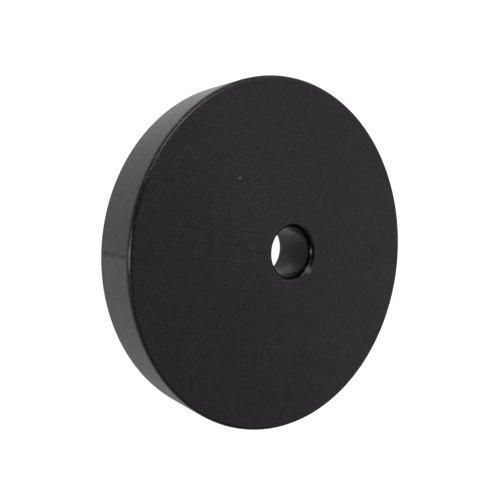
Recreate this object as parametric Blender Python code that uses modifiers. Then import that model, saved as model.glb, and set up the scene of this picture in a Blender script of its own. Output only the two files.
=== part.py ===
"""A passive magnetic detacher for hard security tags.

A round moulded case lies on four rubber feet with its flat working face up. A hole through
its middle takes the dome of a tag. Inside, two concentric rings of magnets on a steel plate
pull the tag's lock open. Metres, +Z up, origin on the counter under the middle of the case.
"""

import math

import bmesh
import bpy
from mathutils import Matrix, Vector

MM = 0.001
GAP = 0.3 * MM  # left between pieces that touch
OVERLAP = 0.5 * MM  # how far joined shapes reach into each other, and cutters past a wall

# The case
CASE_RADIUS = 40.0 * MM
CASE_THICKNESS = 12.6 * MM
FACE_WALL = 1.6 * MM
RIM_WALL = 2.2 * MM
FRONT_EDGE_ROUND = 0.85 * MM
REAR_EDGE_ROUND = 0.25 * MM
BORE_RADIUS = 5.85 * MM
BORE_MOUTH_ROUND = 1.2 * MM
BORE_REAR_ROUND = 1.6 * MM
COLLAR_WALL = 1.75 * MM
REBATE_WALL = 1.4 * MM  # the rim's wall round the rear cover
COVER_THICKNESS = 2.6 * MM

# The four screws, their bosses and the feet that hide them: two pairs, not quite square
SCREW_TURNS = [math.radians(turn) for turn in (5.4, 88.9, 185.4, 268.9)]
SCREW_CIRCLE_RADIUS = 25.6 * MM
BOSS_RADIUS = 3.6 * MM
SCREW_RADIUS = 1.45 * MM
SCREW_CORE_RADIUS = 1.1 * MM
SCREW_HEAD_RADIUS = 2.7 * MM
SCREW_HEAD_LAND = 0.3 * MM
SCREW_HEAD_SINK = 0.05 * MM
SCREW_LENGTH = 9.0 * MM
THREAD_PITCH = 1.1 * MM
THREAD_TURNS = 5
DRIVER_SLOT_LENGTH = 3.2 * MM
DRIVER_SLOT_WIDTH = 0.7 * MM
DRIVER_SLOT_DEPTH = 1.0 * MM
FOOT_RADIUS = 4.4 * MM
FOOT_PROUD = 0.6 * MM
FOOT_ROUND = 0.4 * MM
FOOT_RECESS_DEPTH = 0.8 * MM

# The stack inside the case
FOAM_THICKNESS = 0.8 * MM
FOAM_INNER_RADIUS = 9.0 * MM
FOAM_OUTER_RADIUS = 36.8 * MM
PLATE_THICKNESS = 1.4 * MM
PLATE_EDGE = 0.2 * MM
POLE_WALL = 2.6 * MM
POLE_CHAMFER = 1.2 * MM
CORE_MAGNET_WIDTH = 8.2 * MM
ARC_MAGNET_COUNT = 8
ARC_MAGNET_WIDTH = 5.2 * MM
ARC_MAGNET_SPACING = 0.4 * MM
MAGNET_EDGE = 0.3 * MM
CARRIER_WALL = 1.4 * MM
SLEEVE_WALL = 1.4 * MM
RIB_COUNT = 8
RIB_WIDTH = 1.2 * MM

# Facets round a circle, by how large the circle is
CASE_FACETS = 80
RING_FACETS = 48
SMALL_FACETS = 20
SCREW_FACETS = 12
ROUND_STEPS = 3
SHARP_ANGLE = math.radians(35)
MERGE_DISTANCE = 0.01 * MM

# Heights that follow from the sizes above
REAR = FOOT_PROUD
FACE = REAR + CASE_THICKNESS
CEILING = FACE - FACE_WALL
RECESS_FLOOR = REAR + FOOT_RECESS_DEPTH
HEAD_FACE = RECESS_FLOOR + SCREW_HEAD_SINK
COVER_TOP = REAR + COVER_THICKNESS
LEDGE = COVER_TOP + GAP
FOAM_BOTTOM = COVER_TOP + GAP
FOAM_TOP = FOAM_BOTTOM + FOAM_THICKNESS
PLATE_BOTTOM = FOAM_TOP + GAP
PLATE_TOP = PLATE_BOTTOM + PLATE_THICKNESS
MAGNET_BOTTOM = PLATE_TOP + GAP
MAGNET_TOP = CEILING - GAP

# Radii that follow from the sizes above
COLLAR_RADIUS = BORE_RADIUS + COLLAR_WALL
RIM_INNER_RADIUS = CASE_RADIUS - RIM_WALL
REBATE_RADIUS = CASE_RADIUS - REBATE_WALL
COVER_RADIUS = REBATE_RADIUS - GAP
POLE_RADIUS = COLLAR_RADIUS + GAP
CORE_MAGNET_RADIUS = POLE_RADIUS + POLE_WALL + GAP
CARRIER_RADIUS = CORE_MAGNET_RADIUS + CORE_MAGNET_WIDTH + GAP
ARC_MAGNET_OUTER_RADIUS = RIM_INNER_RADIUS - GAP
ARC_MAGNET_INNER_RADIUS = ARC_MAGNET_OUTER_RADIUS - ARC_MAGNET_WIDTH
CARRIER_OUTER_RADIUS = ARC_MAGNET_INNER_RADIUS - GAP
PILOT_RADIUS = SCREW_RADIUS + GAP
BOSS_CLEARANCE_RADIUS = BOSS_RADIUS + GAP
RECESS_RADIUS = FOOT_RADIUS + GAP


def clear_scene():
    for obj in list(bpy.data.objects):
        bpy.data.objects.remove(obj, do_unlink=True)


def new_collection(name):
    collection = bpy.data.collections.new(name)
    bpy.context.scene.collection.children.link(collection)
    return collection


def material(name, colour, roughness, metallic=0.0):
    made = bpy.data.materials.new(name)
    made.use_nodes = True
    shader = made.node_tree.nodes["Principled BSDF"]
    shader.inputs["Base Color"].default_value = (*colour, 1.0)
    shader.inputs["Roughness"].default_value = roughness
    shader.inputs["Metallic"].default_value = metallic
    return made


def screw_places():
    """Where the screws stand round the case."""
    return [Vector((math.cos(t), math.sin(t), 0.0)) * SCREW_CIRCLE_RADIUS for t in SCREW_TURNS]


def arc(radius_out, height, size, start, end):
    """Points on a circular arc of an outline, in degrees: 0 points outwards and 90 up."""
    turns = [math.radians(start + (end - start) * i / ROUND_STEPS) for i in range(ROUND_STEPS + 1)]
    return [(radius_out + size * math.cos(t), height + size * math.sin(t)) for t in turns]


def add_object(name, mesh, collection):
    obj = bpy.data.objects.new(name, mesh)
    collection.objects.link(obj)
    return obj


def turned(name, outline, facets, collection, closed=True):
    """A solid turned about Z. The outline of (radius, height) runs down its outer side.

    A closed outline goes round a ring's section; an open one starts and ends on the axis.
    """
    mesh = bpy.data.meshes.new(name)
    edges = [(i, i + 1) for i in range(len(outline) - 1)]
    if closed:
        edges.append((len(outline) - 1, 0))
    mesh.from_pydata([(r, 0.0, z) for r, z in outline], edges, [])
    obj = add_object(name, mesh, collection)
    turn = obj.modifiers.new("Turn", "SCREW")
    turn.steps = facets
    turn.render_steps = facets
    turn.use_merge_vertices = True
    turn.merge_threshold = MERGE_DISTANCE
    return obj


def ring(name, inner, outer, bottom, top, facets, collection, edge=0.0):
    """A plain ring with its four edges broken by a small chamfer."""
    outline = [(inner, top), (outer, top), (outer, bottom), (inner, bottom)]
    if edge:
        outline = [
            (inner + edge, top),
            (outer - edge, top),
            (outer, top - edge),
            (outer, bottom + edge),
            (outer - edge, bottom),
            (inner + edge, bottom),
            (inner, bottom + edge),
            (inner, top - edge),
        ]
    return turned(name, outline, facets, collection)


def slab(name, outline, bottom, top, collection):
    """A flat outline of (x, y) with its thickness, its faces welded to its sides."""
    curve = bpy.data.curves.new(name, "CURVE")
    curve.dimensions = "2D"
    curve.fill_mode = "BOTH"
    curve.extrude = (top - bottom) / 2
    spline = curve.splines.new("POLY")
    spline.points.add(len(outline) - 1)
    for point, (x, y) in zip(spline.points, outline):
        point.co = (x, y, 0.0, 1.0)
    spline.use_cyclic_u = True
    obj = add_object(name, curve, collection)
    obj.location.z = (bottom + top) / 2
    weld = obj.modifiers.new("Weld", "WELD")
    weld.merge_threshold = MERGE_DISTANCE
    return obj


def posts(name, radius, bottom, top, collection):
    """An upright cylinder at each screw, as one mesh to cut or join with."""
    shape = bmesh.new()
    for place in screw_places():
        bmesh.ops.create_cone(
            shape,
            cap_ends=True,
            segments=SMALL_FACETS,
            radius1=radius,
            radius2=radius,
            depth=top - bottom,
            matrix=Matrix.Translation(place + Vector((0.0, 0.0, (bottom + top) / 2))),
        )
    mesh = bpy.data.meshes.new(name)
    shape.to_mesh(mesh)
    shape.free()
    return as_tool(add_object(name, mesh, collection))


def bars(name, size, turns, centre_radius, height, collection):
    """A box of that size at each turn round the axis, as one mesh to cut or join with."""
    shape = bmesh.new()
    for turn in turns:
        place = Matrix.Rotation(turn, 4, "Z") @ Matrix.Translation((centre_radius, 0.0, height))
        bmesh.ops.create_cube(shape, size=1.0, matrix=place @ Matrix.Diagonal((*size, 1.0)))
    mesh = bpy.data.meshes.new(name)
    shape.to_mesh(mesh)
    shape.free()
    return as_tool(add_object(name, mesh, collection))


def as_tool(obj):
    obj.hide_render = True
    obj.display_type = "WIRE"
    return obj


def combine(obj, tool, operation):
    change = obj.modifiers.new(tool.name, "BOOLEAN")
    change.operation = operation
    change.solver = "EXACT"
    change.object = tool


def finish(obj, surface):
    """Puts the modifiers' result in the object's place, shaded smooth up to sharp edges."""
    name = obj.name
    collection = obj.users_collection[0]
    bpy.context.view_layer.update()
    graph = bpy.context.evaluated_depsgraph_get()
    mesh = bpy.data.meshes.new_from_object(obj.evaluated_get(graph))
    mesh.transform(obj.matrix_world)
    bpy.data.objects.remove(obj)
    mesh.name = name
    mesh.shade_smooth()
    mesh.set_sharp_from_angle(angle=SHARP_ANGLE)
    mesh.materials.clear()
    mesh.materials.append(surface)
    return add_object(name, mesh, collection)


def copies(first, stem, collection, places, turns):
    """Numbers the first piece and adds the rest, which share its mesh, one to a place and turn."""
    mesh = first.data
    first.name = f"{stem}_1"
    names = [f"{stem}_{i + 1}" for i in range(1, len(places))]
    pieces = [first, *(add_object(name, mesh, collection) for name in names)]
    for piece, place, turn in zip(pieces, places, turns):
        piece.location = place
        piece.rotation_euler.z = turn
    return pieces


def make_front_shell(parts, tools):
    """The case: working face, rim, the collar that lines the hole, and the screw bosses."""
    rear_round_centre = (BORE_RADIUS + BORE_REAR_ROUND, REAR + BORE_REAR_ROUND)
    outline = [
        *arc(BORE_RADIUS + BORE_MOUTH_ROUND, FACE - BORE_MOUTH_ROUND, BORE_MOUTH_ROUND, 180, 90),
        *arc(CASE_RADIUS - FRONT_EDGE_ROUND, FACE - FRONT_EDGE_ROUND, FRONT_EDGE_ROUND, 90, 0),
        (CASE_RADIUS, REAR + REAR_EDGE_ROUND),
        (CASE_RADIUS - REAR_EDGE_ROUND, REAR),
        (REBATE_RADIUS, REAR),
        (REBATE_RADIUS, LEDGE),
        (RIM_INNER_RADIUS, LEDGE),
        (RIM_INNER_RADIUS, CEILING),
        (COLLAR_RADIUS, CEILING),
        (COLLAR_RADIUS, REAR),
        *arc(*rear_round_centre, BORE_REAR_ROUND, 270, 180),
    ]
    shell = turned("front_shell", outline, CASE_FACETS, parts)
    bosses = posts("boss_tool", BOSS_RADIUS, LEDGE, CEILING + OVERLAP, tools)
    pilots = posts("pilot_tool", PILOT_RADIUS, LEDGE - OVERLAP, CEILING - OVERLAP, tools)
    combine(shell, bosses, "UNION")
    combine(shell, pilots, "DIFFERENCE")
    return finish(shell, material("case_plastic", (0.022, 0.020, 0.022), 0.42))


def make_rear_cover(parts, tools):
    """The plate that closes the case, with a stepped hole for each screw and foot."""
    inner = COLLAR_RADIUS + GAP
    cover = ring(
        "rear_cover", inner, COVER_RADIUS, REAR, COVER_TOP, RING_FACETS, parts, REAR_EDGE_ROUND
    )
    head_opening = SCREW_HEAD_RADIUS + GAP
    cone_bottom = HEAD_FACE + SCREW_HEAD_LAND
    hole = [
        (0.0, COVER_TOP + OVERLAP),
        (PILOT_RADIUS, COVER_TOP + OVERLAP),
        (PILOT_RADIUS, cone_bottom + head_opening - PILOT_RADIUS),
        (head_opening, cone_bottom),
        (head_opening, RECESS_FLOOR),
        (RECESS_RADIUS, RECESS_FLOOR),
        (RECESS_RADIUS, REAR - OVERLAP),
        (0.0, REAR - OVERLAP),
    ]
    for i, place in enumerate(screw_places()):
        tool = turned(f"screw_hole_tool_{i + 1}", hole, SMALL_FACETS, tools, closed=False)
        tool.location = place
        combine(cover, as_tool(tool), "DIFFERENCE")
    return finish(cover, material("cover_plastic", (0.024, 0.022, 0.024), 0.5))


def make_screws(parts, tools):
    """Countersunk thread-forming screws, heads down, with a cross slot for the driver."""
    tip = HEAD_FACE + SCREW_LENGTH
    neck = HEAD_FACE + SCREW_HEAD_LAND + SCREW_HEAD_RADIUS - SCREW_RADIUS
    thread = []
    for turn in range(THREAD_TURNS):
        crest = tip - (turn + 1) * THREAD_PITCH
        thread.append((SCREW_RADIUS, crest))
        thread.append((SCREW_CORE_RADIUS, crest - THREAD_PITCH / 2))
    outline = [
        (0.0, tip),
        (SCREW_CORE_RADIUS / 2, tip),
        (SCREW_CORE_RADIUS, tip - THREAD_PITCH / 2),
        *thread,
        (SCREW_RADIUS, neck),
        (SCREW_HEAD_RADIUS, HEAD_FACE + SCREW_HEAD_LAND),
        (SCREW_HEAD_RADIUS, HEAD_FACE),
        (0.0, HEAD_FACE),
    ]
    screw = turned("cover_screw", outline, SCREW_FACETS, parts, closed=False)
    slot = (DRIVER_SLOT_LENGTH, DRIVER_SLOT_WIDTH, 2 * DRIVER_SLOT_DEPTH)
    for name, turn in (("slot_tool", 0.0), ("cross_slot_tool", math.pi / 2)):
        combine(screw, bars(name, slot, [turn], 0.0, HEAD_FACE, tools), "DIFFERENCE")
    screw = finish(screw, material("screw_steel", (0.55, 0.55, 0.57), 0.32, 1.0))
    return copies(screw, "cover_screw", parts, screw_places(), SCREW_TURNS)


def make_feet(parts):
    """Round rubber feet, glued into the recesses over the screw heads."""
    top = RECESS_FLOOR - GAP
    rounded = arc(FOOT_RADIUS - FOOT_ROUND, FOOT_ROUND, FOOT_ROUND, 0, -90)
    outline = [(0.0, top), (FOOT_RADIUS, top), *rounded, (0.0, 0.0)]
    foot = turned("foot", outline, SMALL_FACETS, parts, closed=False)
    foot = finish(foot, material("foot_rubber", (0.035, 0.034, 0.034), 0.8))
    return copies(foot, "foot", parts, screw_places(), SCREW_TURNS)


def make_foam_pad(parts, tools):
    """The die-cut pad between the cover and the stack."""
    pad = ring(
        "foam_pad", FOAM_INNER_RADIUS, FOAM_OUTER_RADIUS, FOAM_BOTTOM, FOAM_TOP, RING_FACETS, parts
    )
    holes = posts(
        "foam_hole_tool",
        BOSS_CLEARANCE_RADIUS + GAP,
        FOAM_BOTTOM - OVERLAP,
        FOAM_TOP + OVERLAP,
        tools,
    )
    combine(pad, holes, "DIFFERENCE")
    return finish(pad, material("foam", (0.06, 0.06, 0.065), 0.95))


def make_back_plate(parts, tools):
    """The steel plate that both magnet rings sit on."""
    plate = ring(
        "back_plate",
        POLE_RADIUS,
        ARC_MAGNET_OUTER_RADIUS,
        PLATE_BOTTOM,
        PLATE_TOP,
        RING_FACETS,
        parts,
        PLATE_EDGE,
    )
    holes = posts(
        "plate_hole_tool", BOSS_CLEARANCE_RADIUS, PLATE_BOTTOM - OVERLAP, PLATE_TOP + OVERLAP, tools
    )
    combine(plate, holes, "DIFFERENCE")
    return finish(plate, material("zinc_steel", (0.52, 0.52, 0.50), 0.38, 1.0))


def make_pole_ring(parts):
    """The steel ring round the collar, tapered towards the working face."""
    outer = POLE_RADIUS + POLE_WALL
    outline = [
        (POLE_RADIUS, MAGNET_TOP),
        (outer - POLE_CHAMFER, MAGNET_TOP),
        (outer, MAGNET_TOP - POLE_CHAMFER),
        (outer, MAGNET_BOTTOM),
        (POLE_RADIUS, MAGNET_BOTTOM),
    ]
    pole = turned("pole_ring", outline, RING_FACETS, parts)
    return finish(pole, material("turned_steel", (0.45, 0.45, 0.46), 0.3, 1.0))


def make_core_magnet(parts, magnet_metal):
    """The ring magnet round the hole, magnetised along the axis."""
    outer = CORE_MAGNET_RADIUS + CORE_MAGNET_WIDTH
    magnet = ring(
        "core_magnet",
        CORE_MAGNET_RADIUS,
        outer,
        MAGNET_BOTTOM,
        MAGNET_TOP,
        RING_FACETS,
        parts,
        MAGNET_EDGE,
    )
    return finish(magnet, magnet_metal)


def make_arc_magnets(parts, magnet_metal):
    """The outer ring of arc magnets, magnetised towards the hole."""
    share = math.tau / ARC_MAGNET_COUNT
    steps = RING_FACETS // ARC_MAGNET_COUNT
    outline = []
    for radius, way in ((ARC_MAGNET_OUTER_RADIUS, 1), (ARC_MAGNET_INNER_RADIUS, -1)):
        half = (share - ARC_MAGNET_SPACING / radius) / 2
        angles = [way * half * (2 * i / steps - 1) for i in range(steps + 1)]
        outline += [(radius * math.cos(a), radius * math.sin(a)) for a in angles]
    magnet = slab("arc_magnet", outline, MAGNET_BOTTOM, MAGNET_TOP, parts)
    broken_edge = magnet.modifiers.new("Broken edge", "BEVEL")
    broken_edge.width = MAGNET_EDGE
    broken_edge.segments = 1
    broken_edge.angle_limit = SHARP_ANGLE
    on_axis = [Vector((0.0, 0.0, 0.0))] * ARC_MAGNET_COUNT
    turns = [share * i for i in range(ARC_MAGNET_COUNT)]
    return copies(finish(magnet, magnet_metal), "arc_magnet", parts, on_axis, turns)


def make_magnet_carrier(parts, tools):
    """The moulded spacer between the magnet rings: a ribbed channel with a sleeve per boss."""
    web = MAGNET_TOP - CARRIER_WALL
    inside = CARRIER_RADIUS + CARRIER_WALL
    outside = CARRIER_OUTER_RADIUS - CARRIER_WALL
    outline = [
        (CARRIER_RADIUS, MAGNET_TOP),
        (CARRIER_OUTER_RADIUS, MAGNET_TOP),
        (CARRIER_OUTER_RADIUS, MAGNET_BOTTOM),
        (outside, MAGNET_BOTTOM),
        (outside, web),
        (inside, web),
        (inside, MAGNET_BOTTOM),
        (CARRIER_RADIUS, MAGNET_BOTTOM),
    ]
    carrier = turned("magnet_carrier", outline, RING_FACETS, parts)
    sleeves = posts(
        "sleeve_tool",
        BOSS_CLEARANCE_RADIUS + SLEEVE_WALL,
        MAGNET_BOTTOM + GAP,
        MAGNET_TOP - OVERLAP,
        tools,
    )
    rib_low = MAGNET_BOTTOM + 2 * OVERLAP
    rib_top = web + OVERLAP
    rib_size = (outside - inside + 2 * OVERLAP, RIB_WIDTH, rib_top - rib_low)
    rib_turns = [math.tau * (i + 0.5) / RIB_COUNT for i in range(RIB_COUNT)]
    rib_middle = (inside + outside) / 2
    ribs = bars("rib_tool", rib_size, rib_turns, rib_middle, (rib_low + rib_top) / 2, tools)
    holes = posts(
        "sleeve_hole_tool",
        BOSS_CLEARANCE_RADIUS,
        MAGNET_BOTTOM - OVERLAP,
        MAGNET_TOP + OVERLAP,
        tools,
    )
    combine(carrier, sleeves, "UNION")
    combine(carrier, ribs, "UNION")
    combine(carrier, holes, "DIFFERENCE")
    return finish(carrier, material("carrier_plastic", (0.62, 0.60, 0.55), 0.5))


def make_detacher():
    clear_scene()
    parts = new_collection("security_tag_detacher")
    tools = new_collection("cutters")
    magnet_metal = material("magnet_nickel", (0.66, 0.64, 0.60), 0.18, 1.0)
    make_front_shell(parts, tools)
    make_rear_cover(parts, tools)
    make_screws(parts, tools)
    make_feet(parts)
    make_foam_pad(parts, tools)
    make_back_plate(parts, tools)
    make_pole_ring(parts)
    make_core_magnet(parts, magnet_metal)
    make_arc_magnets(parts, magnet_metal)
    make_magnet_carrier(parts, tools)


make_detacher()
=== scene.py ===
"""The looks of a passive magnetic detacher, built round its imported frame.

The moulded case, its cover and the rubber feet are remade with fine edges and the marks that
moulding and use leave. The magnets, the steel, the screws, the carrier and the foam inside keep
their CAD shape and get their materials here. Metres, +Z up, the working face on top.
"""

import math

import bmesh
import bpy
from mathutils import Matrix, Vector
from mathutils.geometry import delaunay_2d_cdt


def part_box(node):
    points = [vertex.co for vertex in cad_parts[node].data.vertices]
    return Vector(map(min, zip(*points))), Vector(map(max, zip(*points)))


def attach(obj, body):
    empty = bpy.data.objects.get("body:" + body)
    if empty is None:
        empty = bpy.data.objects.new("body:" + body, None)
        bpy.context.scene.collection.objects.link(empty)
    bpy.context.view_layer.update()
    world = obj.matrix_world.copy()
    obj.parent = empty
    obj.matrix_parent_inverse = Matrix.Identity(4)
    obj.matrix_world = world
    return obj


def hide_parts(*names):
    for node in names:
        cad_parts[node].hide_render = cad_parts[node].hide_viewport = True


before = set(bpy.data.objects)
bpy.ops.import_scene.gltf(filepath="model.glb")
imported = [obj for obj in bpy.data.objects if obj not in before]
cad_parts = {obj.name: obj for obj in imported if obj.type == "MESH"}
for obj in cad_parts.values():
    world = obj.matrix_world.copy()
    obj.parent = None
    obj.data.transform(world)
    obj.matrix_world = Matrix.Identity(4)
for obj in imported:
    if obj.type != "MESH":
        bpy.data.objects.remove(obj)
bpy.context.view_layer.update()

MM = 0.001
BODY = "root"

# Read from the frame
shell_low, shell_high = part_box("front_shell")
_, cover_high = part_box("rear_cover")
_, foot_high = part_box("foot_1")
FOOT_COUNT = 4
CASE_RADIUS = shell_high.x
FACE = shell_high.z
REAR = shell_low.z
COVER_RADIUS = cover_high.x
COVER_TOP = cover_high.z
FOOT_TOP = foot_high.z

# Sizes that the case, the cover and the feet have in their CAD solids
FRONT_EDGE_ROUND = 0.85 * MM
REAR_EDGE_ROUND = 0.25 * MM
BORE_RADIUS = 5.85 * MM
BORE_MOUTH_ROUND = 1.2 * MM
BORE_REAR_ROUND = 1.6 * MM
COLLAR_RADIUS = 7.6 * MM
RIM_INNER_RADIUS = 37.8 * MM
REBATE_RADIUS = 38.6 * MM
CEILING = FACE - 1.6 * MM
LEDGE = COVER_TOP + 0.3 * MM
BOSS_RADIUS = 3.6 * MM
PILOT_RADIUS = 1.75 * MM
PILOT_DEPTH = 7.6 * MM
COVER_HOLE_RADIUS = 7.9 * MM
RECESS_RADIUS = 4.7 * MM
RECESS_FLOOR = REAR + 0.8 * MM
HEAD_OPENING_RADIUS = 3.0 * MM
HEAD_LAND = 0.35 * MM
FOOT_RADIUS = 4.4 * MM
FOOT_ROUND = 0.4 * MM

# Finer shapes that only the visual model has
INSIDE_ROUND = 0.3 * MM
RECESS_ROUND = 0.15 * MM
FOOT_TOP_CHAMFER = 0.12 * MM
SOLE_RING_RADIUS = 2.6 * MM
SOLE_RING_WIDTH = 0.5 * MM
SOLE_RING_DEPTH = 0.12 * MM

# Marks that moulding leaves: a sunk disc over each boss, and the mould's parting seam in the rim
MARK_RADIUS = 3.4 * MM
MARK_DEPTHS = [depth * MM for depth in (0.06, 0.11, 0.06, 0.09)]
MARK_WALLS = [width * MM for width in (0.045, 0.08, 0.045, 0.045)]
SEAM_TURN = math.radians(-86.3)
SEAM_PLACE = CASE_RADIUS * math.cos(SEAM_TURN)  # along X
SEAM_DEPTH = 0.05 * MM
SEAM_REACH = 0.42 * MM  # to each side of its middle
SEAM_DARK_CORE = 0.05 * MM  # the darker line along the seam, to each side
SEAM_DARK_REACH = 2 * SEAM_REACH

# Marks that use leaves
NICK_START = Vector((24.86, -25.00, 0.0)) * MM
NICK_END = Vector((29.91, -24.20, 0.0)) * MM
NICK_REACH = 0.35 * MM  # to each side of its middle
NICK_DEPTH = 0.20 * MM
NICK_SCUFF = Vector((27.91, -23.51, 13.2)) * MM
SPECK = Vector((-14.97, -16.67, 13.2)) * MM
SCRATCH = Vector((-0.70, -11.77, 13.2)) * MM
MOUTH_PAINTED_HIGHLIGHT = Vector((4.05, 5.50, 13.05)) * MM  # a painted highlight: a pale patch at the hole's mouth where a lamp reflects
# a paler mottled patch on the bore wall
BORE_PALE_PATCH = Vector((4.45, 3.80, 7.0)) * MM
FACE_WEAR = Vector((-14.0, -14.0, 13.2)) * MM
# pale rub and chips on the edge here, also a painted highlight along that stretch
EDGE_WEAR_AND_HIGHLIGHT = Vector((-28.0, -28.0, 13.2)) * MM
# where the edge is paler
EDGE_PALE_STRETCH = Vector((24.0, -32.0, 13.2)) * MM

# Facets
CASE_FACETS = 288
BORE_FACETS = 128
MARK_FACETS = 96
SMALL_FACETS = 64
ROUND_STEPS = 8
COVER_ROUND_STEPS = 4
HIDDEN_ROUND_STEPS = 3
MARK_RINGS = (-1.0, -0.5, -0.25, 0.0, 0.25, 0.5, 1.0)  # in widths of a mark's wall
SEAM_STEPS = 4  # to each side
NICK_STEPS = 24
NICK_SIDE_STEPS = 4
SUPPORT = 0.06 * MM  # an extra ring this near a round keeps the flat beside it flat
SHARP_ANGLE = math.radians(35)
ANGLE_DIGITS = 9  # angles that agree to this many digits share a vertex
FILL_TOLERANCE = 1e-6  # millimetres

# The camera, over the near edge and rolled, so that the near rim shows at the left
CAMERA_PLACE = Vector((-3.387, -81.116, 102.079)) * MM
CAMERA_HEADING = math.radians(2.769)
CAMERA_DOWN = math.radians(49.290)
CAMERA_ROLL = math.radians(92.362)
CAMERA_LENS = 37.65
CAMERA_SHIFT = (-0.06, -0.06)
CAMERA_CLIP = (0.01, 20.0)

# The floor. It glows white to the camera, and more weakly in what the object reflects.
FLOOR_RADIUS = 6.0
FLOOR_FACETS = 128
FLOOR_GAP = 0.05 * MM  # keeps the floor off the soles of the feet
FLOOR_GREY = 0.66
FLOOR_ROUGHNESS = 0.9
FLOOR_GLOW = 0.95
HOLE_GLOW = 1.10  # seen through the hole
HOLE_GLOW_RADIUS = 7.0 * MM
TABLE_GLOW = (0.52, 0.06)  # in reflections, on the bright side and on the dark side
TABLE_GLOW_REACH = (-60.0 * MM, 100.0 * MM)
HOLE_TABLE_GLOW = (0.30, 0.56)  # in its place under the hole, at the rim of that light and inside
HOLE_TABLE_PLACE = Vector((0.0, 7.0, 0.0)) * MM
HOLE_TABLE_REACH = (3.0 * MM, 9.0 * MM)
# how far under the object the glow in reflections is painted out, a painted shadow
SHADED_UNDERSIDE_REACH = (18.0 * MM, 30.0 * MM)

# Light
WHITE = (1.0, 1.0, 1.0, 1.0)
BACKGROUND = 1.05
AMBIENT = 0.05
LAMPS = (  # name, direction from the object, distance, size and radiance
    ("side_softbox", (-0.62, -0.16, 0.77), 0.8, (0.56, 0.44), 1.8),
    ("far_softbox", (-0.22, 0.73, 0.65), 1.0, (1.8, 0.86), 0.56),
    ("high_softbox", (0.47, 0.27, 0.84), 0.8, (0.58, 0.50), 0.22),
    ("near_lamp", (0.12, -0.83, 0.55), 0.7, (0.14, 0.60), 3.5),
)


# Materials


class Surface:
    """A material in the making: its Principled shader, and patterns fixed on the object."""

    def __init__(self, name, metallic=0.0):
        self.material = bpy.data.materials.new(name)
        self.material.use_nodes = True
        self.tree = self.material.node_tree
        self.shader = self.tree.nodes["Principled BSDF"]
        self.shader.inputs["Metallic"].default_value = metallic
        self.place = self.tree.nodes.new("ShaderNodeTexCoord").outputs["Object"]

    def noise(self, grain, detail=2.0, roughness=0.5, turn=(0.0, 0.0, 0.0), stretch=None):
        """Fractal noise whose features are about that many metres across."""
        place = self.place
        if stretch:
            mapping = self.tree.nodes.new("ShaderNodeMapping")
            mapping.inputs["Rotation"].default_value = turn
            mapping.inputs["Scale"].default_value = stretch
            self.tree.links.new(place, mapping.inputs["Vector"])
            place = mapping.outputs["Vector"]
        texture = self.tree.nodes.new("ShaderNodeTexNoise")
        texture.inputs["Scale"].default_value = 1.0 / grain
        texture.inputs["Detail"].default_value = detail
        texture.inputs["Roughness"].default_value = roughness
        self.tree.links.new(place, texture.inputs["Vector"])
        return texture.outputs["Fac"]

    def cells(self, grain):
        """Distance from the middle of cells that are about that many metres across."""
        texture = self.tree.nodes.new("ShaderNodeTexVoronoi")
        texture.inputs["Scale"].default_value = 1.0 / grain
        self.tree.links.new(self.place, texture.inputs["Vector"])
        return texture.outputs["Distance"]

    def axes(self):
        """The place's X, Y and Z."""
        split = self.tree.nodes.new("ShaderNodeSeparateXYZ")
        self.tree.links.new(self.place, split.inputs["Vector"])
        return split.outputs

    def patch(self, centre, inner, outer):
        """1 within inner metres of the centre, running out to 0 at outer."""
        distance = self.tree.nodes.new("ShaderNodeVectorMath")
        distance.operation = "DISTANCE"
        distance.inputs[1].default_value = centre
        self.tree.links.new(self.place, distance.inputs[0])
        return self.spread(distance.outputs["Value"], 1.0, 0.0, inner, outer)

    def spread(self, value, low, high, start=0.3, end=0.7):
        """A value that runs from low to high as the input runs from start to end."""
        made = self.tree.nodes.new("ShaderNodeMapRange")
        made.inputs["From Min"].default_value = start
        made.inputs["From Max"].default_value = end
        made.inputs["To Min"].default_value = low
        made.inputs["To Max"].default_value = high
        self.tree.links.new(value, made.inputs["Value"])
        return made.outputs["Result"]

    def compute(self, operation, first, second=0.0):
        made = self.tree.nodes.new("ShaderNodeMath")
        made.operation = operation
        for socket, value in zip(made.inputs, (first, second)):
            if isinstance(value, (int, float)):
                socket.default_value = value
            else:
                self.tree.links.new(value, socket)
        return made.outputs["Value"]

    def times(self, product, *factors):
        for factor in factors:
            product = self.compute("MULTIPLY", product, factor)
        return product

    def weigh(self, *parts):
        """The sum of values, each given with its share."""
        shares = [self.times(value, share) for value, share in parts]
        total = shares[0]
        for share in shares[1:]:
            total = self.compute("ADD", total, share)
        return total

    def ramp(self, value, *stops):
        """A value turned into a colour through stops of position and colour."""
        made = self.tree.nodes.new("ShaderNodeValToRGB")
        elements = made.color_ramp.elements
        for element, (position, colour) in zip(elements, stops):
            element.position = position
            element.color = (*colour, 1.0)
        self.tree.links.new(value, made.inputs["Fac"])
        return made.outputs["Color"]

    def lay(self, colour, share, under):
        """The colour laid over another where the share is 1."""
        made = self.tree.nodes.new("ShaderNodeMix")
        made.data_type = "RGBA"
        made.inputs["B"].default_value = (*colour, 1.0)
        self.tree.links.new(share, made.inputs["Factor"])
        self.tree.links.new(under, made.inputs["A"])
        return made.outputs["Result"]

    def bump(self, height, depth, under=None):
        """Surface relief that deep, laid over the relief under it."""
        made = self.tree.nodes.new("ShaderNodeBump")
        made.inputs["Distance"].default_value = depth
        self.tree.links.new(height, made.inputs["Height"])
        if under:
            self.tree.links.new(under, made.inputs["Normal"])
        return made.outputs["Normal"]

    def finish(self, colour, roughness, relief):
        for name, value in (("Base Color", colour), ("Roughness", roughness), ("Normal", relief)):
            self.tree.links.new(value, self.shader.inputs[name])
        return self.material


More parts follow.
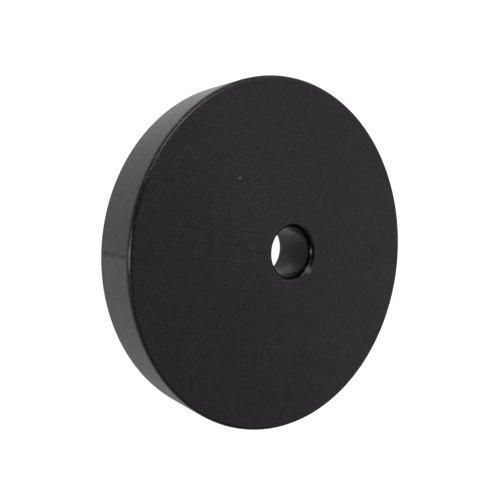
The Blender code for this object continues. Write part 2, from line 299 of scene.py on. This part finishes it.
def face_plastic():
    """The working face: matt grain of a spark-eroded mould, cloudy gloss, worn by tags, and a
    painted highlight at the hole's mouth.
    """
    face = Surface("case_face")
    fine = face.noise(0.30 * MM, detail=2.0, roughness=0.7)
    middle = face.noise(1.4 * MM, detail=3.0, roughness=0.6)
    cloud = face.noise(9.0 * MM, detail=3.0, roughness=0.55)
    tone = face.weigh((fine, 0.58), (middle, 0.27), (cloud, 0.15))
    colour = face.ramp(tone, (0.37, (0.0042, 0.0008, 0.0046)), (0.63, (0.0330, 0.0240, 0.0355)))
    speckle = face.noise(0.6 * MM, detail=5.0, roughness=0.85)
    speckle = face.spread(speckle, 0.0, 1.0, start=0.49, end=0.65)
    worn = face.times(speckle, face.patch(FACE_WEAR, 6.0 * MM, 27.0 * MM), 0.68)
    colour = face.lay((0.062, 0.060, 0.064), worn, colour)
    for spot, inner, outer, share, tint in (
        (SPECK, 0.12, 0.24, 1.0, (0.42, 0.42, 0.42)),
        (SCRATCH, 0.10, 0.42, 0.45, (0.13, 0.13, 0.13)),
        (NICK_SCUFF, 0.20, 2.20, 0.12, (0.10, 0.10, 0.10)),
        # the pale patch at the hole's mouth is a painted highlight
        (MOUTH_PAINTED_HIGHLIGHT, 0.30, 1.10, 1.0, (0.165, 0.155, 0.161)),
    ):
        colour = face.lay(tint, face.times(face.patch(spot, inner * MM, outer * MM), share), colour)
    streak = face.noise(
        3.0 * MM, detail=3.0, roughness=0.6, turn=(0.0, 0.0, math.radians(35)),
        stretch=(1.0, 0.22, 1.0),
    )
    gloss = face.weigh((streak, 0.5), (cloud, 0.5))
    relief = face.bump(fine, 0.085 * MM, face.bump(middle, 0.035 * MM))
    return face.finish(colour, face.spread(gloss, 0.40, 0.54), relief)


def edge_plastic():
    """The rounded front edge: polished by handling, with pale rub and chips along one stretch that
    is also lightened there as a painted highlight, and paler along another stretch.
    """
    edge = Surface("case_edge")
    grit = edge.noise(0.45 * MM, detail=4.0, roughness=0.75)
    colour = edge.ramp(grit, (0.35, (0.0055, 0.0050, 0.0055)), (0.60, (0.0190, 0.0175, 0.0190)))
    rub = edge.spread(grit, 0.20, 1.0, start=0.44, end=0.64)
    # Along this stretch the edge has pale rub and chips, and is also lightened as a painted
    # highlight.
    chips_and_highlight = edge.patch(EDGE_WEAR_AND_HIGHLIGHT, 10.0 * MM, 24.0 * MM)
    share = edge.spread(chips_and_highlight, 0.10, 0.90, start=0.0, end=1.0)
    colour = edge.lay((0.085, 0.080, 0.085), edge.times(rub, share), colour)
    # paler along the edge round this place
    pale_stretch = edge.times(edge.patch(EDGE_PALE_STRETCH, 14.0 * MM, 30.0 * MM), 0.45)
    colour = edge.lay((0.042, 0.040, 0.042), pale_stretch, colour)
    chips = edge.noise(0.8 * MM, detail=3.0, roughness=0.6)
    chips = edge.spread(chips, 0.0, 0.8, start=0.60, end=0.66)
    colour = edge.lay((0.20, 0.19, 0.20), edge.times(chips, chips_and_highlight), colour)
    roughness = edge.spread(rub, 0.14, 0.30, start=0.0, end=1.0)
    return edge.finish(colour, roughness, edge.bump(grit, 0.008 * MM))


def bore_plastic():
    """The hole's lining: black off a polished core pin, faintly drawn, paler in a mottled patch on
    the wall, and lightened at the mouth as a painted highlight.
    """
    bore = Surface("case_bore")
    drawn = bore.noise(0.7 * MM, detail=4.0, roughness=0.6, stretch=(1.0, 1.0, 0.12))
    colour = bore.ramp(drawn, (0.3, (0.0012, 0.0011, 0.0013)), (0.7, (0.0040, 0.0036, 0.0042)))
    mottling = bore.noise(1.0 * MM, detail=3.0, roughness=0.6)
    mottling = bore.spread(mottling, 0.5, 1.0, start=0.4, end=0.6)
    # A paler mottled patch on the bore wall, and the pale patch at the mouth, which is a painted
    # highlight.
    pale_patch_and_highlight = bore.times(bore.patch(BORE_PALE_PATCH, 0.7 * MM, 2.4 * MM), mottling)
    pale_patch_and_highlight = bore.compute("MAXIMUM", pale_patch_and_highlight, bore.patch(MOUTH_PAINTED_HIGHLIGHT, 0.3 * MM, 1.2 * MM))
    colour = bore.lay((0.175, 0.167, 0.175), pale_patch_and_highlight, colour)
    roughness = bore.compute("ADD", bore.spread(drawn, 0.17, 0.26), bore.times(pale_patch_and_highlight, 0.25))
    return bore.finish(colour, roughness, bore.bump(drawn, 0.006 * MM))


def rim_plastic():
    """The rim, from a smoother part of the mould: hazed past the parting seam, which is darkened
    along its line.
    """
    rim = Surface("case_rim")
    fine = rim.noise(0.5 * MM, detail=3.0)
    wear = rim.noise(5.0 * MM, detail=5.0, roughness=0.6)
    blotch = rim.noise(1.3 * MM, detail=3.0, roughness=0.65)
    tone = rim.weigh((wear, 0.5), (blotch, 0.5))
    colour = rim.ramp(tone, (0.40, (0.0010, 0.0004, 0.0016)), (0.64, (0.0230, 0.0200, 0.0235)))
    along_x, along_y, _ = rim.axes()
    near_side = rim.spread(along_y, 1.0, 0.0, start=-0.3 * CASE_RADIUS, end=0.0)
    haze = rim.times(
        rim.spread(along_x, 0.0, 1.0, start=SEAM_PLACE - 0.2 * MM, end=SEAM_PLACE + 0.1 * MM),
        rim.spread(along_x, 1.0, 0.0, start=0.5 * CASE_RADIUS, end=0.8 * CASE_RADIUS),
        near_side,
        rim.spread(tone, 0.35, 1.0, start=0.38, end=0.62),
    )
    colour = rim.lay((0.060, 0.056, 0.060), haze, colour)
    off_seam = rim.compute("ABSOLUTE", rim.compute("SUBTRACT", along_x, SEAM_PLACE))
    # a darker line along the seam
    seam_darkening = rim.times(
        rim.spread(off_seam, 0.85, 0.0, start=SEAM_DARK_CORE, end=SEAM_DARK_REACH),
        near_side,
        rim.spread(blotch, 0.4, 1.0, start=0.38, end=0.57),
    )
    colour = rim.lay((0.002, 0.002, 0.002), seam_darkening, colour)
    gloss = rim.compute("ADD", rim.spread(wear, 0.17, 0.25), rim.spread(blotch, 0.0, 0.08))
    roughness = rim.compute("MAXIMUM", gloss, rim.times(seam_darkening, 0.68))
    relief = rim.bump(fine, 0.012 * MM, rim.bump(blotch, 0.035 * MM))
    return rim.finish(colour, roughness, relief)


def inside_plastic():
    """The case's and the cover's inner faces: dull, with the swirl of the tool behind them."""
    inside = Surface("case_inside")
    swirl = inside.noise(1.2 * MM, detail=3.0, turn=(0.0, 0.0, 0.4), stretch=(1.0, 0.15, 1.0))
    colour = inside.ramp(swirl, (0.3, (0.010, 0.009, 0.010)), (0.7, (0.018, 0.017, 0.018)))
    return inside.finish(colour, inside.spread(swirl, 0.45, 0.62), inside.bump(swirl, 0.01 * MM))


def cover_plastic():
    """The rear cover: black, with a slightly coarser grain than the face."""
    cover = Surface("cover_grain")
    grain = cover.noise(0.5 * MM, detail=4.0, roughness=0.65)
    rub = cover.noise(6.0 * MM, detail=5.0, roughness=0.6)
    colour = cover.ramp(rub, (0.35, (0.008, 0.0075, 0.008)), (0.7, (0.020, 0.019, 0.020)))
    return cover.finish(colour, cover.spread(rub, 0.48, 0.62), cover.bump(grain, 0.02 * MM))


def rubber():
    """Soft black rubber with a bloom of dust in its pores."""
    foot = Surface("foot_rubber")
    pores = foot.noise(0.25 * MM, detail=3.0, roughness=0.7)
    dust = foot.noise(1.6 * MM, detail=4.0)
    colour = foot.ramp(dust, (0.3, (0.016, 0.015, 0.015)), (0.75, (0.045, 0.043, 0.041)))
    return foot.finish(colour, foot.spread(dust, 0.68, 0.88), foot.bump(pores, 0.02 * MM))


def metal(name, dark, light, smooth, dull, grain, turn=(0.0, 0.0, 0.0), lines=None):
    """Bare or plated metal: tone and gloss vary over the grain, with fine tool lines if given."""
    plated = Surface(name, metallic=1.0)
    tone = plated.noise(grain, detail=4.0, roughness=0.55)
    relief = plated.noise(0.2 * MM, detail=2.0, turn=turn, stretch=lines)
    return plated.finish(
        plated.ramp(tone, (0.3, dark), (0.7, light)),
        plated.spread(tone, smooth, dull),
        plated.bump(relief, 0.004 * MM),
    )


def turned_metal(name, dark, light, feed):
    """Lathe-turned steel, with fine rings round the axis a feed apart."""
    steel = Surface(name, metallic=1.0)
    along_x, along_y, along_z = steel.axes()
    squares = [steel.times(along, along) for along in (along_x, along_y)]
    radius = steel.compute("SQRT", steel.compute("ADD", *squares))
    cut = steel.compute("ADD", radius, along_z)
    rings = steel.compute("SINE", steel.times(cut, math.tau / feed))
    tone = steel.noise(2.0 * MM, detail=4.0)
    return steel.finish(
        steel.ramp(tone, (0.3, dark), (0.7, light)),
        steel.spread(tone, 0.24, 0.38),
        steel.bump(rings, 0.004 * MM),
    )


def carrier_plastic():
    """Unpigmented nylon: ivory, waxy, with faint flow marks."""
    nylon = Surface("carrier_nylon")
    nylon.shader.inputs["Subsurface Weight"].default_value = 0.15
    nylon.shader.inputs["Subsurface Radius"].default_value = (2.0 * MM, 1.5 * MM, 1.0 * MM)
    flow = nylon.noise(4.0 * MM, detail=4.0, turn=(0.0, 0.0, 0.7), stretch=(1.0, 0.3, 1.0))
    colour = nylon.ramp(flow, (0.3, (0.50, 0.47, 0.40)), (0.7, (0.66, 0.63, 0.56)))
    return nylon.finish(colour, nylon.spread(flow, 0.38, 0.55), nylon.bump(flow, 0.02 * MM))


def foam():
    """Dark grey closed-cell foam, die cut through cells of a third of a millimetre, each cell's
    hollow darkened as painted shade.
    """
    pad = Surface("foam_cells")
    depth = pad.cells(0.35 * MM)
    # darker towards each cell's middle: painted shade in the hollows
    colour = pad.ramp(depth, (0.05, (0.012, 0.012, 0.013)), (0.6, (0.075, 0.075, 0.08)))
    roughness = pad.spread(depth, 0.85, 1.0, start=0.0, end=0.6)
    return pad.finish(colour, roughness, pad.bump(depth, 0.1 * MM))


# Shapes


def turns(facets, extra=()):
    """Angles round a circle, with extra ones where a small feature needs them."""
    even = [math.tau * i / facets for i in range(facets)]
    return sorted({round(a % math.tau, ANGLE_DIGITS) for a in (*even, *extra)})


def arc(radius_out, height, size, start, end, steps=ROUND_STEPS):
    """Points on a circular arc of an outline, in degrees: 0 points outwards and 90 up."""
    angles = [math.radians(start + (end - start) * i / steps) for i in range(steps + 1)]
    return [(radius_out + size * math.cos(t), height + size * math.sin(t)) for t in angles]


def on_circle(radius, angles, centre=(0.0, 0.0)):
    x, y = centre
    return [(x + radius * math.cos(a), y + radius * math.sin(a)) for a in angles]


class Skin:
    """A closed mesh made of turned bands and flat fills that share their border vertices."""

    def __init__(self, name):
        self.name = name
        self.shape = bmesh.new()

    def circle(self, radius, height, angles, centre):
        return [self.shape.verts.new((x, y, height)) for x, y in on_circle(radius, angles, centre)]

    def band(self, upper, lower, slot):
        """Faces between two rings; the first ring is the one that the outside sees on top."""
        count = len(upper)
        for i in range(count):
            j = (i + 1) % count
            face = self.shape.faces.new((upper[i], lower[i], lower[j], upper[j]))
            face.material_index = slot

    def turned(self, outline, angles, slots, centre=(0.0, 0.0)):
        """Bands down an outline of (radius, height). Returns its first and last rings.

        slots is a list with the material slot of each band, or one slot for them all.
        """
        rings = [self.circle(*point, angles, centre) for point in outline]
        for i, (upper, lower) in enumerate(zip(rings, rings[1:])):
            self.band(upper, lower, slots[i] if isinstance(slots, list) else slots)
        return rings[0], rings[-1]

    def fill(self, borders, slot, facing=1, inner=(), height=None):
        """A flat face between rings of vertices: the first border is outside, the rest are holes.

        inner holds more points of (x, y), and height gives every inner point its height. The
        triangles are found in millimetres, where the tolerance suits them.
        """
        vertices = [v for border in borders for v in border]
        places = [(v.co.x / MM, v.co.y / MM) for v in vertices]
        places += [(x / MM, y / MM) for x, y in inner]
        edges = []
        start = 0
        for border in borders:
            count = len(border)
            edges += [(start + i, start + (i + 1) % count) for i in range(count)]
            start += count
        points, _, faces, origins, _, _ = delaunay_2d_cdt(
            [Vector(p) for p in places], edges, [], 0, FILL_TOLERANCE, True
        )
        made = []
        for point, origin in zip(points, origins):
            known = [k for k in origin if k < len(vertices)]
            if known:
                made.append(vertices[known[0]])
            else:
                x, y = point.x * MM, point.y * MM
                made.append(self.shape.verts.new((x, y, height(x, y))))
        holes = [circle_of(border) for border in borders[1:]]
        for corners in faces:
            middle = sum((made[c].co.xy for c in corners), Vector((0.0, 0.0))) / len(corners)
            if any((middle - centre).length < radius for centre, radius in holes):
                continue
            loop = [made[c] for c in corners]
            face = self.shape.faces.new(loop if facing > 0 else loop[::-1])
            face.material_index = slot

    def cap(self, ring, slot):
        self.shape.faces.new(ring[::-1]).material_index = slot

    def finish(self, materials):
        """The mesh as an object, shaded smooth up to its sharp edges."""
        loose = [v for v in self.shape.verts if not v.link_faces]
        bmesh.ops.delete(self.shape, geom=loose, context="VERTS")
        bmesh.ops.recalc_face_normals(self.shape, faces=self.shape.faces)
        mesh = bpy.data.meshes.new(self.name)
        self.shape.to_mesh(mesh)
        self.shape.free()
        mesh.shade_smooth()
        mesh.set_sharp_from_angle(angle=SHARP_ANGLE)
        for made in materials:
            mesh.materials.append(made)
        obj = bpy.data.objects.new(self.name, mesh)
        bpy.context.scene.collection.objects.link(obj)
        return obj


def circle_of(ring):
    """The centre and radius of a hole's ring."""
    centre = sum((v.co.xy for v in ring), Vector((0.0, 0.0))) / len(ring)
    return centre, (ring[0].co.xy - centre).length


def screw_places():
    """Where the screws stand, which is over the middle of each foot."""
    boxes = [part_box(f"foot_{i + 1}") for i in range(FOOT_COUNT)]
    return [((low.x + high.x) / 2, (low.y + high.y) / 2) for low, high in boxes]


SCREW_PLACES = screw_places()


def smooth_step(t):
    t = min(max(t, 0.0), 1.0)
    return t * t * (3 - 2 * t)


def nick_depth(x, y):
    """How far the nick cuts into the face there: deepest in its middle, run out at its ends."""
    along = (NICK_END - NICK_START).xy
    offset = Vector((x, y)) - NICK_START.xy
    share = offset.dot(along) / along.length_squared
    if not 0 < share < 1:
        return 0.0
    side = abs(offset.cross(along)) / along.length
    return NICK_DEPTH * math.sin(math.pi * share) * smooth_step(1 - side / NICK_REACH)


def face_height(x, y):
    """The working face, with a shallow sunk disc over each boss and the nick by the edge."""
    sunk = 0.0
    for (px, py), depth, wall in zip(SCREW_PLACES, MARK_DEPTHS, MARK_WALLS):
        distance = math.hypot(x - px, y - py)
        sunk += depth * smooth_step((MARK_RADIUS + wall / 2 - distance) / wall)
    return FACE - sunk - nick_depth(x, y)


def face_points():
    """Where the working face needs vertices: beside its rounds, round each mark, at the nick."""
    points = on_circle(CASE_RADIUS - FRONT_EDGE_ROUND - SUPPORT, case_turns())
    points += on_circle(BORE_RADIUS + BORE_MOUTH_ROUND + SUPPORT, turns(BORE_FACETS))
    for place, wall in zip(SCREW_PLACES, MARK_WALLS):
        for offset in MARK_RINGS:
            points += on_circle(MARK_RADIUS + offset * wall, turns(MARK_FACETS), place)
    along = (NICK_END - NICK_START).xy
    across = Vector((-along.y, along.x)).normalized()
    for i in range(-1, NICK_STEPS + 2):
        for j in range(-NICK_SIDE_STEPS - 1, NICK_SIDE_STEPS + 2):
            side = across * (NICK_REACH * j / NICK_SIDE_STEPS)
            points.append(tuple(NICK_START.xy + along * (i / NICK_STEPS) + side))
    return points


def case_turns():
    """Angles round the case, closer together where the seam is."""
    steps = [i / SEAM_STEPS for i in range(-SEAM_STEPS, SEAM_STEPS + 1)]
    return turns(CASE_FACETS, [SEAM_TURN + s * SEAM_REACH / CASE_RADIUS for s in steps])


def make_case(inside_surface):
    """The case in one piece: face, rim, collar and bosses."""
    skin = Skin("case_shell")
    grained, smooth, inside, edge, bore = range(5)
    front_round = arc(
        CASE_RADIUS - FRONT_EDGE_ROUND, FACE - FRONT_EDGE_ROUND, FRONT_EDGE_ROUND, 90, 0
    )
    rear_round = arc(
        CASE_RADIUS - REAR_EDGE_ROUND, REAR + REAR_EDGE_ROUND, REAR_EDGE_ROUND, 0, -90
    )
    ceiling_round = arc(
        RIM_INNER_RADIUS - INSIDE_ROUND, CEILING - INSIDE_ROUND, INSIDE_ROUND, 0, 90,
        HIDDEN_ROUND_STEPS,
    )
    outside = [
        *front_round,
        (CASE_RADIUS, FACE - FRONT_EDGE_ROUND - SUPPORT),
        (CASE_RADIUS, REAR + REAR_EDGE_ROUND + SUPPORT),
        *rear_round,
        (REBATE_RADIUS, REAR),
        (REBATE_RADIUS, LEDGE),
        (RIM_INNER_RADIUS, LEDGE),
        *ceiling_round,
    ]
    smooth_count = 2 + len(rear_round)
    inside_count = len(outside) - len(front_round) - smooth_count
    slots = [edge] * (len(front_round) - 1) + [smooth] * smooth_count + [inside] * inside_count
    face_rim, ceiling_rim = skin.turned(outside, case_turns(), slots)
    press_seam(skin.shape)
    lining = [
        (COLLAR_RADIUS, CEILING),
        (COLLAR_RADIUS, REAR),
        *arc(BORE_RADIUS + BORE_REAR_ROUND, REAR + BORE_REAR_ROUND, BORE_REAR_ROUND, 270, 180),
        (BORE_RADIUS, REAR + BORE_REAR_ROUND + SUPPORT),
        (BORE_RADIUS, FACE - BORE_MOUTH_ROUND - SUPPORT),
        *arc(BORE_RADIUS + BORE_MOUTH_ROUND, FACE - BORE_MOUTH_ROUND, BORE_MOUTH_ROUND, 180, 90),
    ]
    slots = [inside] + [bore] * (len(lining) - 2)
    ceiling_hole, face_hole = skin.turned(lining, turns(BORE_FACETS), slots)
    skin.fill([face_rim, face_hole], grained, inner=face_points(), height=face_height)
    boss = [
        (BOSS_RADIUS, CEILING),
        (BOSS_RADIUS, LEDGE),
        (PILOT_RADIUS, LEDGE),
        (PILOT_RADIUS, LEDGE + PILOT_DEPTH),
    ]
    boss_tops = []
    for place in SCREW_PLACES:
        top, end = skin.turned(boss, turns(SMALL_FACETS), inside, place)
        skin.cap(end, inside)
        boss_tops.append(top)
    skin.fill([ceiling_rim, ceiling_hole, *boss_tops], inside, facing=-1)
    return skin.finish(
        [face_plastic(), rim_plastic(), inside_surface, edge_plastic(), bore_plastic()]
    )


def press_seam(shape):
    """Presses in the mould's parting seam: a shallow upright groove in the rim."""
    for vertex in shape.verts:
        radius = vertex.co.xy.length
        if radius < CASE_RADIUS - SUPPORT:
            continue
        turn = math.atan2(vertex.co.y, vertex.co.x)
        off = (turn - SEAM_TURN) * CASE_RADIUS / SEAM_REACH
        if abs(off) < 1:
            scale = 1 - SEAM_DEPTH * smooth_step(1 - abs(off)) / radius
            vertex.co.x *= scale
            vertex.co.y *= scale


def make_cover(inside_surface):
    """The rear cover, with a recess for each foot and a countersunk hole for each screw."""
    skin = Skin("cover_plate")
    grained, inside = range(2)
    edge = REAR_EDGE_ROUND
    outside = [
        (COVER_RADIUS - edge, COVER_TOP),
        (COVER_RADIUS, COVER_TOP - edge),
        *arc(COVER_RADIUS - edge, REAR + edge, edge, 0, -90, COVER_ROUND_STEPS),
    ]
    lining = [
        *arc(COVER_HOLE_RADIUS + edge, REAR + edge, edge, 270, 180, COVER_ROUND_STEPS),
        (COVER_HOLE_RADIUS, COVER_TOP - edge),
        (COVER_HOLE_RADIUS + edge, COVER_TOP),
    ]
    top_rim, rear_rim = skin.turned(outside, turns(CASE_FACETS), grained)
    rear_hole, top_hole = skin.turned(lining, turns(BORE_FACETS), grained)
    recess_round = arc(
        RECESS_RADIUS + RECESS_ROUND, REAR + RECESS_ROUND, RECESS_ROUND, 270, 180,
        HIDDEN_ROUND_STEPS,
    )
    cone_bottom = RECESS_FLOOR + HEAD_LAND
    hole = [
        *recess_round,
        (RECESS_RADIUS, RECESS_FLOOR),
        (HEAD_OPENING_RADIUS, RECESS_FLOOR),
        (HEAD_OPENING_RADIUS, cone_bottom),
        (PILOT_RADIUS, cone_bottom + HEAD_OPENING_RADIUS - PILOT_RADIUS),
        (PILOT_RADIUS, COVER_TOP),
    ]
    rear_openings, top_openings = [], []
    for place in SCREW_PLACES:
        low, high = skin.turned(hole, turns(SMALL_FACETS), inside, place)
        rear_openings.append(low)
        top_openings.append(high)
    skin.fill([rear_rim, rear_hole, *rear_openings], grained, facing=-1)
    skin.fill([top_rim, top_hole, *top_openings], inside)
    return skin.finish([cover_plastic(), inside_surface])


def make_feet(surface):
    """Round rubber feet with a soft lower edge and a shallow ring pressed into the sole."""
    outline = [
        (FOOT_RADIUS - FOOT_TOP_CHAMFER, FOOT_TOP),
        (FOOT_RADIUS, FOOT_TOP - FOOT_TOP_CHAMFER),
        *arc(FOOT_RADIUS - FOOT_ROUND, FOOT_ROUND, FOOT_ROUND, 0, -90),
        (SOLE_RING_RADIUS + SOLE_RING_WIDTH / 2, 0.0),
        (SOLE_RING_RADIUS + SOLE_RING_WIDTH / 4, SOLE_RING_DEPTH),
        (SOLE_RING_RADIUS - SOLE_RING_WIDTH / 4, SOLE_RING_DEPTH),
        (SOLE_RING_RADIUS - SOLE_RING_WIDTH / 2, 0.0),
    ]
    feet = []
    for i, place in enumerate(SCREW_PLACES):
        skin = Skin(f"rubber_foot_{i + 1}")
        top, sole = skin.turned(outline, turns(SMALL_FACETS), 0, place)
        skin.cap(top[::-1], 0)
        skin.cap(sole, 0)
        foot = skin.finish([surface])
        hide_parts(f"foot_{i + 1}")
        feet.append(foot)
    return feet


# Stage


def make_floor():
    """A pale floor that glows, as a lit table does, and more where the hole looks on it. In
    reflections the glow is taken away under the object, as a painted shadow.
    """
    bpy.ops.mesh.primitive_circle_add(
        vertices=FLOOR_FACETS, radius=FLOOR_RADIUS, fill_type="NGON",
        location=(0.0, 0.0, -FLOOR_GAP),
    )
    floor = bpy.context.object
    floor.name = "floor"
    table = Surface("floor")
    inputs = table.shader.inputs
    inputs["Base Color"].default_value = (FLOOR_GREY, FLOOR_GREY, FLOOR_GREY, 1.0)
    inputs["Roughness"].default_value = FLOOR_ROUGHNESS
    inputs["Specular IOR Level"].default_value = 0.0
    inputs["Emission Color"].default_value = WHITE
    middle = (0.0, 0.0, 0.0)
    near_hole = table.patch(middle, HOLE_GLOW_RADIUS, 2 * HOLE_GLOW_RADIUS)
    seen_glow = table.spread(near_hole, FLOOR_GLOW, HOLE_GLOW, start=0.0, end=1.0)
    # under the object the glow in reflections is taken away: a painted shadow
    shaded_underside = table.patch(middle, *SHADED_UNDERSIDE_REACH)
    open_glow = table.times(
        table.spread(table.axes()["X"], *TABLE_GLOW, *TABLE_GLOW_REACH),
        table.spread(shaded_underside, 1.0, 0.0, start=0.0, end=1.0),
    )
    hole_light = table.patch(HOLE_TABLE_PLACE, *HOLE_TABLE_REACH)
    hole_light = table.spread(hole_light, *HOLE_TABLE_GLOW, start=0.0, end=1.0)
    reflected_glow = table.compute("ADD", open_glow, table.times(hole_light, shaded_underside))
    to_camera = table.tree.nodes.new("ShaderNodeLightPath").outputs["Is Camera Ray"]
    glow = table.compute("MAXIMUM", table.times(seen_glow, to_camera), reflected_glow)
    table.tree.links.new(glow, inputs["Emission Strength"])
    table.material.cycles.emission_sampling = "NONE"
    floor.data.materials.append(table.material)


def add_softbox(name, direction, distance, size, radiance):
    """A lamp of that width and height that faces the object from that direction."""
    lamp = bpy.data.lights.new(name, "AREA")
    lamp.shape = "RECTANGLE"
    lamp.size, lamp.size_y = size
    lamp.energy = radiance * math.pi * size[0] * size[1]
    obj = bpy.data.objects.new(name, lamp)
    bpy.context.scene.collection.objects.link(obj)
    towards = Vector(direction).normalized()
    obj.location = towards * distance
    obj.rotation_euler = towards.to_track_quat("Z", "Y").to_euler()
    obj.visible_camera = False


def make_world():
    """An even pale surround for the camera, and a dim one for what the object reflects."""
    world = bpy.data.worlds.new("studio")
    bpy.context.scene.world = world
    world.use_nodes = True
    tree = world.node_tree
    backdrop = tree.nodes["Background"]
    ambient = tree.nodes.new("ShaderNodeBackground")
    for background, strength in ((backdrop, BACKGROUND), (ambient, AMBIENT)):
        background.inputs["Color"].default_value = WHITE
        background.inputs["Strength"].default_value = strength
    to_camera = tree.nodes.new("ShaderNodeLightPath").outputs["Is Camera Ray"]
    mix = tree.nodes.new("ShaderNodeMixShader")
    tree.links.new(to_camera, mix.inputs["Fac"])
    tree.links.new(ambient.outputs["Background"], mix.inputs[1])
    tree.links.new(backdrop.outputs["Background"], mix.inputs[2])
    tree.links.new(mix.outputs["Shader"], tree.nodes["World Output"].inputs["Surface"])


def make_camera():
    camera = bpy.data.cameras.new("camera")
    camera.lens = CAMERA_LENS
    camera.shift_x, camera.shift_y = CAMERA_SHIFT
    camera.clip_start, camera.clip_end = CAMERA_CLIP
    obj = bpy.data.objects.new("camera", camera)
    bpy.context.scene.collection.objects.link(obj)
    obj.location = CAMERA_PLACE
    turn = Matrix.Rotation(CAMERA_HEADING, 4, "Z")
    tilt = Matrix.Rotation(math.pi / 2 - CAMERA_DOWN, 4, "X")
    roll = Matrix.Rotation(CAMERA_ROLL, 4, "Z")
    obj.rotation_euler = (turn @ tilt @ roll).to_euler()
    bpy.context.scene.camera = obj


def coat(surfaces):
    """Gives the CAD nodes that stay their materials, by each node's name without its number."""
    for name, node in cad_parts.items():
        stem = name.rstrip("0123456789").rstrip("_")
        if stem in surfaces:
            node.data.materials.clear()
            node.data.materials.append(surfaces[stem])


def make_scene():
    inside_surface = inside_plastic()
    case = make_case(inside_surface)
    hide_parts("front_shell")
    cover = make_cover(inside_surface)
    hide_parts("rear_cover")
    feet = make_feet(rubber())
    for piece in (case, cover, *feet):
        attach(piece, BODY)
    nickel = metal("magnet_nickel", (0.60, 0.57, 0.52), (0.74, 0.71, 0.66), 0.14, 0.26, 3.0 * MM)
    coat({
        "core_magnet": nickel,
        "arc_magnet": nickel,
        "pole_ring": turned_metal(
            "pole_steel", (0.40, 0.40, 0.41), (0.52, 0.52, 0.53), feed=0.18 * MM
        ),
        "back_plate": metal(
            "plate_zinc", (0.46, 0.46, 0.44), (0.60, 0.60, 0.58), 0.30, 0.48, 5.0 * MM,
            turn=(0.0, 0.0, 0.6), lines=(1.0, 0.04, 1.0),
        ),
        "cover_screw": metal(
            "screw_zinc", (0.50, 0.50, 0.52), (0.66, 0.66, 0.68), 0.22, 0.40, 1.0 * MM
        ),
        "magnet_carrier": carrier_plastic(),
        "foam_pad": foam(),
    })
    make_floor()
    make_world()
    for lamp in LAMPS:
        add_softbox(*lamp)
    make_camera()
    bpy.context.scene.view_settings.view_transform = "Standard"


make_scene()
